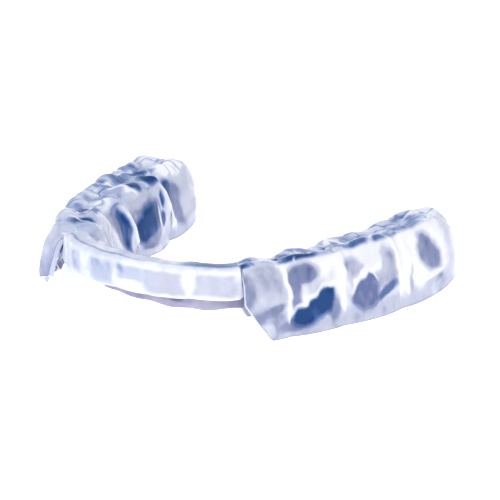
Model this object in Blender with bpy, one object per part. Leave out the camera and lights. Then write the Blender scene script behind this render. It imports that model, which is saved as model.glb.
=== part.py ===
"""Clear lower-arch mouthguard: two laminated bite pods, a front band and a lingual strip.

Each pod is a trough that fits over the teeth from the first premolar to the second molar.
It has three layers: a hard outer shell, a bite pad over the chewing surface and a thin
liner against the teeth. The left shell goes on forwards over the canine as a single-layer
hood. A band runs in front of the other front teeth and a thin strip runs behind them; both
lap inside the front openings of the two shells.

Lengths are in millimetres and are scaled to metres when a mesh is made. +X is to one side
of the mouth, +Y to the back and +Z up; the pods rest on their rims at z = 0. Positions on
the arch are given as (s, across, z): s is the length along the arch from the midline,
across is the distance towards the cheek, and z is the height.
"""

import math

import bmesh
import bpy

MM = 0.001

# The lower arch. The direction of the arch turns by ARCH_TURN from the midline to the back.
TOOTH_WIDTHS = (5.3, 5.8, 6.9, 5.9, 8.4, 11.2, 10.5)
FRONT_TEETH = 3
ARCH_TURN = math.radians(80.2)
ARCH_REACH = 17.3
ARCH_BEND = 1.62
ARCH_STEP = 0.1
ARCH_LENGTH = 70.0

LEFT = -1
RIGHT = 1

# The pods. The right one reaches further back and rises there. The widths are for the hood's
# front, the hood's full width and each back tooth.
HOOD_FRONT = 12.4
HOOD_FULL = 15.0
CHEEK_HALF_WIDTHS = (4.2, 5.3, 5.2, 5.4, 6.0, 5.8)
TONGUE_HALF_WIDTHS = (4.0, 5.0, 5.2, 5.7, 6.6, 6.3)
CHEEK_GROOVE = 0.45
TONGUE_GROOVE = 1.0
OPENING_CROWN = 0.65
POD_HEIGHT = 11.7
BACK_REACHES = {LEFT: 1.4, RIGHT: 3.4}
POD_RISES = {LEFT: 0.5, RIGHT: 2.6}
RIM_RISE = 2.6
RISE_START = 41.0
FLARE = 0.11
SECTION_POWER = 3.0
END_RADIUS = 6.2
END_POWER = 3.2
HOOD_DROP = 0.7
HOOD_RIM_RISE = 3.8
HOOD_RIM_END = 20.0
HOOD_SLANT = 0.6
FRONT_SLANT = 3.2
TONGUE_SLANT = 3.6
SLANT_HEIGHT = 5.5
HOOD_TONGUE_SLANT = 9.2
HOOD_SLANT_HEIGHT = 8.5
CROWN_POWER = 0.7
TOP_POWER = 6
CUSP_DIP = 0.5
FOSSA_DEPTH = 1.0
FOSSA_WIDTH = 2.2

# The layers, from the outside in.
GAP = 0.25
SHELL_WALL = 0.8
PAD_ROOF = 1.7
PAD_WALL = 0.4
LINER_WALL = 0.4
LINER_EDGE = math.radians(2.5)
PAD_EDGE = math.radians(31.0)
PAD_EDGE_WAVE = math.radians(5.0)
COVER_START = math.radians(12.0)
COVER_END = math.radians(24.0)
LAYER_SETBACK = 2.75

# The band in front of the teeth, an upside-down L in section, and its lap inside a shell.
BAND_TOP = 10.8
BAND_HEIGHT = 4.9
BAND_WALL = 1.1
BAND_LEDGE = 3.5
BAND_FRONT = 2.6
BAND_END_FRONT = 3.6
BAND_FACET = 0.35
BAND_BEND = 0.4
TONGUE_LOW = math.radians(33.0)
TONGUE_HIGH = math.radians(47.0)
TONGUE_WALL = 0.6
TONGUE_ROOT = 0.75
LAP_LENGTH = 2.4

# The strip behind the front teeth.
STRIP_LOW = 2.2
STRIP_HIGH = 5.4
STRIP_WALL = 0.9
STRIP_BEHIND = 4.2
STRIP_END_BEHIND = 3.4
STRIP_BEND = 0.35

# How finely the shapes are divided.
STRAIGHT_ROWS = 21
END_ROWS = 6
PAD_ROWS_LEFT_OUT = 4
SHELL_COLUMNS = 18
PAD_COLUMNS = 10
LINER_COLUMNS = 14
BAND_ROWS = 42
STRIP_ROWS = 34
LAP_ROWS = 3

CLEAR_BLUE = (0.66, 0.72, 0.90, 1.0)
CLEAR_PALE = (0.80, 0.83, 0.93, 1.0)
DEEP_BLUE = (0.20, 0.32, 0.60, 1.0)
SMOKY_LILAC = (0.52, 0.50, 0.64, 1.0)
SHARP_ANGLE = math.radians(50.0)
PLASTIC_IOR = 1.49


def tooth_ends():
    """Lengths along the arch at which one tooth meets the next, from the midline."""
    ends = [0.0]
    for width in TOOTH_WIDTHS:
        ends.append(ends[-1] + width)
    return ends


TOOTH_ENDS = tooth_ends()
POD_FRONT = TOOTH_ENDS[FRONT_TEETH]
BACK_CENTRES = [
    (start + end) / 2
    for start, end in zip(TOOTH_ENDS[FRONT_TEETH:], TOOTH_ENDS[FRONT_TEETH + 1 :])
]
WIDTH_PLACES = [HOOD_FRONT, HOOD_FULL] + BACK_CENTRES
SHELL_FRONTS = {LEFT: HOOD_FRONT, RIGHT: POD_FRONT}
POD_BACKS = {side: TOOTH_ENDS[-1] + reach for side, reach in BACK_REACHES.items()}
LAYER_FRONT = POD_FRONT + LAYER_SETBACK


def trace_arch():
    """Points (x, y, direction) at even steps along one side of the arch."""
    points = [(0.0, 0.0, 0.0)]
    for step in range(1, round(ARCH_LENGTH / ARCH_STEP)):
        x, y, direction = points[-1]
        x += ARCH_STEP * math.cos(direction)
        y += ARCH_STEP * math.sin(direction)
        turned = 1 - math.exp(-((step * ARCH_STEP / ARCH_REACH) ** ARCH_BEND))
        points.append((x, y, ARCH_TURN * turned))
    return points


ARCH = trace_arch()


def on_arch(s, across, z):
    """The (x, y, z) point at this place on the arch; a negative s is on the other side."""
    place = abs(s) / ARCH_STEP
    first = int(place)
    part = place - first
    x, y, direction = (
        a + (b - a) * part for a, b in zip(ARCH[first], ARCH[first + 1])
    )
    x += across * math.sin(direction)
    y -= across * math.cos(direction)
    return math.copysign(x, s) if s else 0.0, y, z


def clamp(value):
    return min(1.0, max(0.0, value))


def smooth_step(value):
    value = clamp(value)
    return value * value * (3 - 2 * value)


def between(place, places, values):
    """Linear interpolation through (places, values), held level past the ends."""
    for (a, b), (low, high) in zip(zip(places, places[1:]), zip(values, values[1:])):
        if place < b:
            return low + (high - low) * clamp((place - a) / (b - a))
    return values[-1]


def tooth_crown(s):
    """0 where two teeth meet and 1 over the middle of a tooth."""
    for start, end in zip(TOOTH_ENDS, TOOTH_ENDS[1:]):
        if abs(s) <= end:
            return math.sin(math.pi * (abs(s) - start) / (end - start)) ** CROWN_POWER
    return 0.0


def pod_crown(s):
    """As tooth_crown, but hardly narrowed at the pod's open front end."""
    crown = tooth_crown(s)
    if s < BACK_CENTRES[0]:
        return max(crown, OPENING_CROWN)
    return crown


def rounded_unit(angle):
    """A point on a rounded box of half-width and height 1, at this angle from the cheek."""
    across = math.cos(angle)
    up = math.sin(angle)
    size = (abs(across) ** SECTION_POWER + up**SECTION_POWER) ** (1 / SECTION_POWER)
    return across / size, max(0.0, up / size)


def rise_share(s, side):
    """0 in front of the molars' rise, then growing to 1 at the back of the pod."""
    return (max(0.0, s - RISE_START) / (POD_BACKS[side] - RISE_START)) ** 2


def rim_height(s, side):
    """The rims rise towards the back of the pods and under the front of the hood."""
    hood = smooth_step((HOOD_RIM_END - s) / (HOOD_RIM_END - HOOD_FRONT))
    return RIM_RISE * rise_share(s, side) + HOOD_RIM_RISE * hood


def top_height(s, side):
    hood = smooth_step((POD_FRONT - s) / (POD_FRONT - HOOD_FRONT))
    return POD_HEIGHT + POD_RISES[side] * rise_share(s, side) - HOOD_DROP * hood


def pod_point(side, s, angle, wall, roof):
    """(s, across, z) on a surface this deep below the pod's outside, in walls and in roof."""
    past = (s - (POD_BACKS[side] - END_RADIUS)) / (END_RADIUS - wall)
    closing = (1 - clamp(past) ** END_POWER) ** (1 / SECTION_POWER)
    across, up = rounded_unit(angle)
    crown = pod_crown(s)
    if across > 0:
        half = between(s, WIDTH_PLACES, CHEEK_HALF_WIDTHS) - CHEEK_GROOVE * (1 - crown)
    else:
        half = between(s, WIDTH_PLACES, TONGUE_HALF_WIDTHS) - TONGUE_GROOVE * (1 - crown)
    width = (half - wall) * across * closing * (1 + FLARE * (1 - up * closing))
    rim = rim_height(s, side)
    on_top = (up * closing) ** TOP_POWER
    dip = CUSP_DIP * (1 - crown) + FOSSA_DEPTH * crown * math.exp(-((width / FOSSA_WIDTH) ** 2))
    height = top_height(s, side) - roof - rim
    return s, width, rim + height * up * closing - dip * on_top


def front_edge(angle, front):
    """Where a layer starts along the arch: its front edge slants back towards the rims."""
    across, up = rounded_unit(angle)
    hooded = front < POD_FRONT
    if across > 0:
        slant, height = (HOOD_SLANT if hooded else FRONT_SLANT), SLANT_HEIGHT
    elif hooded:
        slant, height = HOOD_TONGUE_SLANT, HOOD_SLANT_HEIGHT
    else:
        slant, height = TONGUE_SLANT, SLANT_HEIGHT
    return front + slant * clamp(1 - up * POD_HEIGHT / height)


def row_places(length):
    """Shares of a pod's length for its rows, closer together round the closed back end."""
    straight = length - END_RADIUS
    rows = STRAIGHT_ROWS
    places = [straight * row / rows for row in range(rows)]
    for row in range(END_ROWS + 1):
        places.append(straight + END_RADIUS * math.sin(math.pi / 2 * row / END_ROWS))
    return [place / length for place in places]


def pod_skin(side, angles, front, wall, roof):
    """Rows of (s, across, z) points; wall gives the depth in the walls at an angle."""
    rows = []
    for share in row_places(POD_BACKS[side] - front):
        row = []
        for angle in angles:
            edge = angle(share)
            depth = wall(edge)
            start = front_edge(edge, front)
            s = start + share * (POD_BACKS[side] - depth - start)
            row.append(pod_point(side, s, edge, depth, roof))
        rows.append(row)
    return rows


def arch_vertex(mesh, side, point):
    s, across, z = point
    return mesh.verts.new([value * MM for value in on_arch(side * s, across, z)])


def hollow_body(mesh, side, outer, inner):
    """A closed body between two skins, whose last rows each shrink to one point."""
    skins = []
    for skin in (outer, inner):
        rows = [[arch_vertex(mesh, side, point) for point in row] for row in skin[:-1]]
        tip = arch_vertex(mesh, side, skin[-1][0])
        rows.append([tip] * len(skin[0]))
        skins.append(rows)
    faces = []
    for rows in skins:
        for near, far in zip(rows, rows[1:]):
            for column in range(len(near) - 1):
                faces.append(
                    (near[column], near[column + 1], far[column + 1], far[column])
                )
    outside, inside = skins
    for column in (0, -1):
        for row in range(len(outside) - 1):
            faces.append(
                (
                    outside[row][column],
                    outside[row + 1][column],
                    inside[row + 1][column],
                    inside[row][column],
                )
            )
    for column in range(len(outside[0]) - 1):
        faces.append(
            (
                outside[0][column],
                outside[0][column + 1],
                inside[0][column + 1],
                inside[0][column],
            )
        )
    for face in faces:
        corners = list(dict.fromkeys(face))
        if len(corners) > 2:
            mesh.faces.new(corners)
    bmesh.ops.recalc_face_normals(mesh, faces=mesh.faces)


def swept_body(mesh, rings):
    """A closed body through rings of (x, y, z) points, with flat ends."""
    rows = [[mesh.verts.new([value * MM for value in point]) for point in ring] for ring in rings]
    for near, far in zip(rows, rows[1:]):
        for column, vertex in enumerate(near):
            mesh.faces.new((near[column - 1], vertex, far[column], far[column - 1]))
    mesh.faces.new(rows[0])
    mesh.faces.new(rows[-1])
    bmesh.ops.recalc_face_normals(mesh, faces=mesh.faces)


def material(name, colour, roughness):
    """A clear plastic, given by its tint and how glossy it is."""
    made = bpy.data.materials.new(name)
    made.use_nodes = True
    shader = made.node_tree.nodes["Principled BSDF"]
    shader.inputs["Base Color"].default_value = colour
    shader.inputs["Roughness"].default_value = roughness
    shader.inputs["Metallic"].default_value = 0.0
    shader.inputs["IOR"].default_value = PLASTIC_IOR
    made.diffuse_color = colour
    return made


def named_object(name, mesh, finish, parent):
    """Turns a bmesh into an object in the scene, smooth except at its sharp edges."""
    bmesh.ops.triangulate(mesh, faces=mesh.faces)
    data = bpy.data.meshes.new(name)
    mesh.to_mesh(data)
    mesh.free()
    data.materials.append(finish)
    data.shade_smooth()
    data.set_sharp_from_angle(angle=SHARP_ANGLE)
    made = bpy.data.objects.new(name, data)
    made.parent = parent
    bpy.context.scene.collection.objects.link(made)
    return made


def columns(first, last, count):
    return [first + (last - first) * column / count for column in range(count + 1)]


def constant(value):
    """A function that gives this value everywhere."""

    def always(_place):
        return value

    return always


def covered(angle):
    """1 where the bite pad lies over the liner, and 0 well below the pad's edge."""
    from_rim = min(angle, math.pi - angle)
    return smooth_step((from_rim - COVER_START) / (COVER_END - COVER_START))


def liner_outside(angle):
    return SHELL_WALL + GAP + (PAD_WALL + GAP) * covered(angle)


def liner_inside(angle):
    return liner_outside(angle) + LINER_WALL


def outer_shell(name, side, finish, parent):
    angles = [constant(angle) for angle in columns(0.0, math.pi, SHELL_COLUMNS)]
    front = SHELL_FRONTS[side]
    mesh = bmesh.new()
    outer = pod_skin(side, angles, front, constant(0.0), 0.0)
    inner = pod_skin(side, angles, front, constant(SHELL_WALL), SHELL_WALL)
    hollow_body(mesh, side, outer, inner)
    return named_object(name, mesh, finish, parent)


def pad_angle(column):
    """The angle of this column of the pad at a share of its length: its edges are wavy."""

    def angle(share):
        wave = PAD_EDGE_WAVE * math.sin(2 * math.pi * len(BACK_CENTRES) * share)
        edge = PAD_EDGE + wave
        return edge + (math.pi - 2 * edge) * column / PAD_COLUMNS

    return angle


def pad_body(mesh, side):
    """The pad: its wavy edge stops short of the rims, so its end rows close on a short arc."""
    angles = [pad_angle(column) for column in range(PAD_COLUMNS + 1)]
    depth = SHELL_WALL + GAP
    outer = pod_skin(side, angles, LAYER_FRONT, constant(depth), depth)
    inner = pod_skin(side, angles, LAYER_FRONT, constant(depth + PAD_WALL), depth + PAD_ROOF)
    rings = []
    for outer_row, inner_row in list(zip(outer, inner))[:-PAD_ROWS_LEFT_OUT]:
        ring = list(outer_row) + list(reversed(inner_row))
        rings.append([on_arch(side * s, across, z) for s, across, z in ring])
    swept_body(mesh, rings)


def bite_pad(name, side, finish, parent):
    mesh = bmesh.new()
    pad_body(mesh, side)
    return named_object(name, mesh, finish, parent)


def liner(name, side, finish, parent):
    edges = columns(LINER_EDGE, math.pi - LINER_EDGE, LINER_COLUMNS)
    angles = [constant(angle) for angle in edges]
    roof = SHELL_WALL + GAP + PAD_ROOF + GAP
    mesh = bmesh.new()
    outer = pod_skin(side, angles, LAYER_FRONT, liner_outside, roof)
    inner = pod_skin(side, angles, LAYER_FRONT, liner_inside, roof + LINER_WALL)
    hollow_body(mesh, side, outer, inner)
    return named_object(name, mesh, finish, parent)


def band_section(s):
    """The upside-down L of the band at this place, as (across, z) points in order."""
    towards_pod = smooth_step((abs(s) - TOOTH_ENDS[2]) / (POD_FRONT - TOOTH_ENDS[2]))
    front = BAND_FRONT + (BAND_END_FRONT - BAND_FRONT) * towards_pod
    front += BAND_FACET * (tooth_crown(s) - 1)
    low = BAND_TOP - BAND_HEIGHT
    bend = BAND_BEND
    return (
        (front, low + bend),
        (front, BAND_TOP - 2 * bend),
        (front - bend / 2, BAND_TOP - bend / 2),
        (front - 2 * bend, BAND_TOP),
        (front - BAND_LEDGE + bend, BAND_TOP - bend / 2),
        (front - BAND_LEDGE, BAND_TOP - BAND_WALL / 2),
        (front - BAND_LEDGE + bend, BAND_TOP - BAND_WALL),
        (front - BAND_WALL - bend, BAND_TOP - BAND_WALL - bend / 2),
        (front - BAND_WALL, BAND_TOP - BAND_WALL - 2 * bend),
        (front - BAND_WALL, low + bend),
        (front - BAND_WALL / 2, low),
    )


def band_tongue(side, finish, parent):
    """The end of the band that laps inside the shell's cheek wall, used as a union cutter."""
    outer_depth = SHELL_WALL + GAP
    front = SHELL_FRONTS[side]
    rings = []
    for s in columns(front - TONGUE_ROOT, front + LAP_LENGTH, LAP_ROWS):
        ring = []
        for depth, angles in (
            (outer_depth, (TONGUE_LOW, TONGUE_HIGH)),
            (outer_depth + TONGUE_WALL, (TONGUE_HIGH, TONGUE_LOW)),
        ):
            for angle in angles:
                place, across, z = pod_point(side, s, angle, depth, outer_depth)
                ring.append(on_arch(side * place, across, z))
        rings.append(ring)
    mesh = bmesh.new()
    swept_body(mesh, rings)
    made = named_object("tongue_cutter", mesh, finish, parent)
    made.hide_render = True
    made.display_type = "WIRE"
    return made


def front_band(finish, parent):
    left_end = -(SHELL_FRONTS[LEFT] - GAP)
    right_end = SHELL_FRONTS[RIGHT] - GAP
    rings = []
    for s in columns(left_end, right_end, BAND_ROWS):
        rings.append([on_arch(s, across, z) for across, z in band_section(s)])
    mesh = bmesh.new()
    swept_body(mesh, rings)
    band = named_object("front_band", mesh, finish, parent)
    for side in (LEFT, RIGHT):
        union = band.modifiers.new("tongue", "BOOLEAN")
        union.operation = "UNION"
        union.object = band_tongue(side, finish, parent)
    return band


def lingual_strip(finish, parent):
    """The thin strip behind the front teeth, whose ends lie inside the shells' tongue walls."""
    end = POD_FRONT + LAP_LENGTH
    middle = (STRIP_LOW + STRIP_HIGH) / 2
    bend = STRIP_BEND
    rings = []
    for s in columns(-end, end, STRIP_ROWS):
        behind = STRIP_BEHIND + (STRIP_END_BEHIND - STRIP_BEHIND) * smooth_step(
            abs(s) / POD_FRONT
        )
        near = -behind + STRIP_WALL / 2
        far = -behind - STRIP_WALL / 2
        ring = (
            (near, STRIP_LOW + bend),
            (near, middle),
            (near, STRIP_HIGH - bend),
            (-behind, STRIP_HIGH),
            (far, STRIP_HIGH - bend),
            (far, middle),
            (far, STRIP_LOW + bend),
            (-behind, STRIP_LOW),
        )
        rings.append([on_arch(s, across, z) for across, z in ring])
    mesh = bmesh.new()
    swept_body(mesh, rings)
    return named_object("lingual_strip", mesh, finish, parent)


def clear_scene():
    for old in list(bpy.data.objects):
        bpy.data.objects.remove(old, do_unlink=True)


def middle_of_depth(objects):
    """The middle of the objects' extent along Y, in metres."""
    depths = [vertex.co.y for item in objects for vertex in item.data.vertices]
    return (min(depths) + max(depths)) / 2


def build():
    clear_scene()
    guard = bpy.data.objects.new("mouthguard", None)
    bpy.context.scene.collection.objects.link(guard)
    shell_finish = material("clear_shell", CLEAR_BLUE, 0.08)
    pad_finish = material("clear_pad", DEEP_BLUE, 0.2)
    liner_finish = material("clear_liner", CLEAR_PALE, 0.3)
    band_finish = material("clear_band", CLEAR_PALE, 0.1)
    strip_finish = material("smoky_strip", SMOKY_LILAC, 0.15)
    shells = []
    for name, side in (("left", LEFT), ("right", RIGHT)):
        shells.append(outer_shell(name + "_outer_shell", side, shell_finish, guard))
        bite_pad(name + "_bite_pad", side, pad_finish, guard)
        liner(name + "_liner", side, liner_finish, guard)
    band = front_band(band_finish, guard)
    lingual_strip(strip_finish, guard)
    guard.location.y = -middle_of_depth([band, *shells])


build()
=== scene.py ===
"""The looks of a clear lower-arch mouthguard: every layer as a fine mesh in clear plastic.

Shapes are worked out in millimetres along the dental arch, as (s, across, z): s is the
length along the arch from the midline, across is towards the cheek, z is the height above
the pods' rims. They become metres when a mesh is made.
"""

import math

import bpy
import numpy as np
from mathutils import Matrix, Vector

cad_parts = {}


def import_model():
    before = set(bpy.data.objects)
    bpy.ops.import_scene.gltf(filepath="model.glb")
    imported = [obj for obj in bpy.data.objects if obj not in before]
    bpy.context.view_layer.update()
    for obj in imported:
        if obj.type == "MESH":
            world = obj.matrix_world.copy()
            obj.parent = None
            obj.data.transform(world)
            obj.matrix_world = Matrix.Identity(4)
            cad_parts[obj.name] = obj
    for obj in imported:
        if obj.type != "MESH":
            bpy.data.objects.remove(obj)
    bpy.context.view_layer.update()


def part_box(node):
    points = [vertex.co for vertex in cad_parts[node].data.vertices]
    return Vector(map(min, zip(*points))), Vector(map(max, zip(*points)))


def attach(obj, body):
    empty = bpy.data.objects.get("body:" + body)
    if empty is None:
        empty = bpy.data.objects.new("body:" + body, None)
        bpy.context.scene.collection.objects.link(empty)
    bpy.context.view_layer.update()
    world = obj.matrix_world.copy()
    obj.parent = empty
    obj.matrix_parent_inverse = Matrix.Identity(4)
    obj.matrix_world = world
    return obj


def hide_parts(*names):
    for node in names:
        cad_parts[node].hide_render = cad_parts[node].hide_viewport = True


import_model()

MM = 0.001

# The lower arch, as the CAD model has it.
TOOTH_WIDTHS = (5.3, 5.8, 6.9, 5.9, 8.4, 11.2, 10.5)
FRONT_TEETH = 3
ARCH_TURN = math.radians(80.2)
ARCH_REACH = 17.3
ARCH_BEND = 1.62
ARCH_STEP = 0.1
ARCH_LENGTH = 70.0

LEFT = -1.0
RIGHT = 1.0

# The pods. The right one reaches further back and rises there. The widths are for the hood's
# front, the hood's full width and each back tooth.
HOOD_FRONT = 12.4
HOOD_FULL = 15.0
CHEEK_HALF_WIDTHS = (4.2, 5.3, 5.2, 5.4, 6.0, 5.8)
TONGUE_HALF_WIDTHS = (4.0, 5.0, 5.2, 5.7, 6.6, 6.3)
CHEEK_GROOVE = 0.45
TONGUE_GROOVE = 1.0
OPENING_CROWN = 0.65
POD_HEIGHT = 11.7
BACK_REACHES = {LEFT: 1.4, RIGHT: 3.4}
POD_RISES = {LEFT: 0.5, RIGHT: 2.6}
RIM_RISE = 2.6
RISE_START = 41.0
FLARE = 0.11
SECTION_POWER = 3.0
END_RADIUS = 6.2
END_POWER = 3.2
HOOD_DROP = 0.7
HOOD_RIM_RISE = 3.8
HOOD_RIM_END = 20.0
HOOD_SLANT = 0.6
FRONT_SLANT = 3.2
TONGUE_SLANT = 3.6
SLANT_HEIGHT = 5.5
HOOD_TONGUE_SLANT = 9.2
HOOD_SLANT_HEIGHT = 8.5
CROWN_POWER = 0.7
TOP_POWER = 6
CUSP_DIP = 0.5
FOSSA_DEPTH = 1.0
FOSSA_WIDTH = 2.2

# The layers, from the outside in.
GAP = 0.25
SHELL_WALL = 0.8
PAD_ROOF = 1.7
PAD_WALL = 0.4
LINER_WALL = 0.4
LINER_EDGE = math.radians(2.5)
COVER_START = math.radians(12.0)
COVER_END = math.radians(24.0)
LAYER_SETBACK = 2.75

# The band and the strip.
BAND_TOP = 10.8
BAND_HEIGHT = 4.9
BAND_WALL = 1.1
BAND_LEDGE = 3.5
BAND_FRONT = 2.6
BAND_END_FRONT = 3.6
BAND_FACET = 0.35
LAP_LENGTH = 2.4
TONGUE_LOW = math.radians(33.0)
TONGUE_HIGH = math.radians(47.0)
TONGUE_WALL = 0.6
STRIP_LOW = 2.2
STRIP_HIGH = 5.4
STRIP_WALL = 0.9
STRIP_BEHIND = 4.2
STRIP_END_BEHIND = 3.4

TOOTH_ENDS = np.concatenate([[0.0], np.cumsum(TOOTH_WIDTHS)])
POD_FRONT = TOOTH_ENDS[FRONT_TEETH]
POD_BACKS = {side: TOOTH_ENDS[-1] + reach for side, reach in BACK_REACHES.items()}
BACK_CENTRES = (TOOTH_ENDS[FRONT_TEETH:-1] + TOOTH_ENDS[FRONT_TEETH + 1 :]) / 2
WIDTH_PLACES = np.concatenate([[HOOD_FRONT, HOOD_FULL], BACK_CENTRES])
SHELL_FRONTS = {LEFT: HOOD_FRONT, RIGHT: POD_FRONT}
LAYER_FRONT = POD_FRONT + LAYER_SETBACK


# ---- arch and pod shape


def trace_arch():
    """Rows (s, x, y, direction) at even steps along one side of the arch."""
    rows = [(0.0, 0.0, 0.0, 0.0)]
    for step in range(1, round(ARCH_LENGTH / ARCH_STEP)):
        s, x, y, direction = rows[-1]
        x += ARCH_STEP * math.cos(direction)
        y += ARCH_STEP * math.sin(direction)
        s = step * ARCH_STEP
        rows.append((s, x, y, ARCH_TURN * (1 - math.exp(-((s / ARCH_REACH) ** ARCH_BEND)))))
    return np.array(rows)


ARCH = trace_arch()


def on_arch(s, across, z):
    """Points (x, y, z) at these places on the arch; a negative s is on the other side."""
    x, y, direction = (np.interp(np.abs(s), ARCH[:, 0], ARCH[:, k]) for k in (1, 2, 3))
    x = (x + across * np.sin(direction)) * np.where(s < 0, -1.0, 1.0)
    return np.stack([x, y - across * np.cos(direction), z + 0.0 * x], axis=-1)


def smooth(value, low=0.0, high=1.0):
    """0 at low, 1 at high, and a smooth step between them."""
    share = np.clip((value - low) / (high - low), 0.0, 1.0)
    return share * share * (3 - 2 * share)


def mix(first, second, share):
    return first + (second - first) * share


def bell(value, middle, reach, power=2):
    """1 at the middle, falling away to nothing within about two reaches of it."""
    return np.exp(-(((value - middle) / reach) ** power))


def wave(place, height, turn, start):
    return height * np.sin(place * turn + start)


def tooth_place(s, ends):
    """(number, share): which tooth each place is on, and how far along that tooth it is."""
    s = np.abs(s)
    number = np.clip(np.searchsorted(ends, s, side="right") - 1, 0, len(ends) - 2)
    return number, (s - ends[number]) / (ends[number + 1] - ends[number])


def tooth_crown(s):
    """0 where two teeth meet and 1 over the middle of a tooth."""
    share = tooth_place(s, TOOTH_ENDS)[1]
    return np.where(share > 1, 0.0, np.sin(np.pi * np.clip(share, 0, 1)) ** CROWN_POWER)


def rounded_unit(angle):
    """A point on a rounded box of half-width and height 1, at this angle from the cheek."""
    across = np.cos(angle)
    up = np.maximum(0.0, np.sin(angle))
    size = (np.abs(across) ** SECTION_POWER + up**SECTION_POWER) ** (1 / SECTION_POWER)
    return across / size, up / size


def rise_share(s, side):
    return (np.maximum(0.0, s - RISE_START) / (POD_BACKS[side] - RISE_START)) ** 2


def half_widths(s):
    """(towards the cheek, towards the tongue) half-widths of a pod."""
    crown = tooth_crown(s)
    crown = np.where(s < BACK_CENTRES[0], np.maximum(crown, OPENING_CROWN), crown)
    cheek = np.interp(s, WIDTH_PLACES, CHEEK_HALF_WIDTHS) - CHEEK_GROOVE * (1 - crown)
    tongue = np.interp(s, WIDTH_PLACES, TONGUE_HALF_WIDTHS) - TONGUE_GROOVE * (1 - crown)
    return cheek, tongue, crown


def pod_point(side, s, angle, wall, roof):
    """(across, z) on a surface this deep below the pod's outside, in walls and in roof."""
    past = np.clip((s - (POD_BACKS[side] - END_RADIUS)) / (END_RADIUS - wall), 0, 1)
    closing = (1 - past**END_POWER) ** (1 / SECTION_POWER)
    across, up = rounded_unit(angle)
    cheek, tongue, crown = half_widths(s)
    half = np.where(across > 0, cheek, tongue)
    width = (half - wall) * across * closing * (1 + FLARE * (1 - up * closing))
    rise = rise_share(s, side)
    rim = RIM_RISE * rise + HOOD_RIM_RISE * smooth(s, HOOD_RIM_END, HOOD_FRONT)
    top = POD_HEIGHT + POD_RISES[side] * rise - HOOD_DROP * smooth(s, POD_FRONT, HOOD_FRONT)
    height = top - roof - rim
    fossa = FOSSA_DEPTH * crown * np.exp(-((width / FOSSA_WIDTH) ** 2))
    dip = (CUSP_DIP * (1 - crown) + fossa) * (up * closing) ** TOP_POWER
    return width, rim + height * up * closing - dip


def front_edge(angle, front):
    """Where a layer starts along the arch: its front edge slants back towards the rims."""
    across, up = rounded_unit(angle)
    hooded = front < POD_FRONT
    cheek_slant = HOOD_SLANT if hooded else FRONT_SLANT
    tongue_slant = HOOD_TONGUE_SLANT if hooded else TONGUE_SLANT
    tongue_height = HOOD_SLANT_HEIGHT if hooded else SLANT_HEIGHT
    slant = np.where(across > 0, cheek_slant, tongue_slant)
    height = np.where(across > 0, SLANT_HEIGHT, tongue_height)
    return front + slant * np.clip(1 - up * POD_HEIGHT / height, 0, 1)


def covered(angle):
    """1 where the bite pad lies over the liner, and 0 well below the pad's edge."""
    from_rim = np.minimum(angle, np.pi - angle)
    return smooth(from_rim, COVER_START, COVER_END)


# ---- noise

LATTICE_SIZE = 32
LATTICE_SEED = 5
LATTICE = np.random.default_rng(LATTICE_SEED).uniform(-1, 1, (LATTICE_SIZE,) * 3)
OCTAVE_STEP = 7.3
VEIN_OCTAVES = 2
VEIN_WIDTH = 0.22

# Noises, each as scale in mm, seed and number of layers.
ALONG_WARP = (2.8, 1.7, 3)
UP_WARP = (2.3, 4.1, 3)
BROAD_SWELL = (4.0, 9.0, 3)
TOP_SWELL = (1.6, 2.0, 2)
STREAKS = (1.5, 6.0, 3)
TOP_MOTTLE = (2.0, 8.0, 3)
LINE_BREAKS = (3.2, 12.0, 2)
HOOD_MOTTLE = (2.0, 6.0, 3)
SHOULDER_MOTTLE = (2.0, 17.0, 2)
BAND_LEVEL_WARP = (2.2, 3.0, 2)
BAND_ALONG_WARP = (2.6, 5.0, 2)
LEDGE_MOTTLE = (2.0, 4.0, 3)
BAND_MOTTLE = (1.1, 2.0, 3)
FRONT_SWELL = (3.0, 6.0, 2)
BAND_LIFT = (3.0, 1.0, 2)
STRIP_MOTTLE = (3.0, 9.0, 3)

# Veins, each as scale in mm and seed.
DARK_VEINS = (2.8, 3.0)
LIGHT_VEINS = (2.9, 21.0)


def value_noise(points):
    """Smooth noise from -1 to 1 at (..., 3) points; it changes over a distance of about 1."""
    cell = np.floor(points).astype(int)
    part = smooth(points - cell)
    total = np.zeros(points.shape[:-1])
    for corner in np.ndindex(2, 2, 2):
        place = (cell + corner) % LATTICE_SIZE
        weight = np.prod(np.where(corner, part, 1 - part), axis=-1)
        total += weight * LATTICE[place[..., 0], place[..., 1], place[..., 2]]
    return total


def cloud(points, scale, seed, octaves):
    """Layered noise, about -1 to 1, over points in mm."""
    total = 0.0
    strength = 1.0
    for octave in range(octaves):
        total = total + strength * value_noise(points / scale + seed + octave * OCTAVE_STEP)
        scale /= 2
        strength /= 2
    return total


def veins(points, scale, seed):
    """1 along thin winding lines and 0 away from them."""
    return 1 - smooth(np.abs(cloud(points, scale, seed, VEIN_OCTAVES)), 0.0, VEIN_WIDTH)


# ---- relief of the pods

# Panels over the teeth: start and end along the arch, low and high share of the wall.
CHEEK_PANELS = (
    (17.6, 23.1, 0.38, 0.88),
    (24.4, 31.3, 0.14, 0.88),
    (33.2, 42.2, 0.18, 0.88),
    (45.6, 50.9, 0.32, 0.80),
)
TONGUE_PANELS = (
    (18.6, 21.6, 0.50, 0.74),
    (22.2, 28.4, 0.24, 0.86),
    (31.8, 42.2, 0.12, 0.76),
    (44.6, 51.5, 0.20, 0.84),
)
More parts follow.
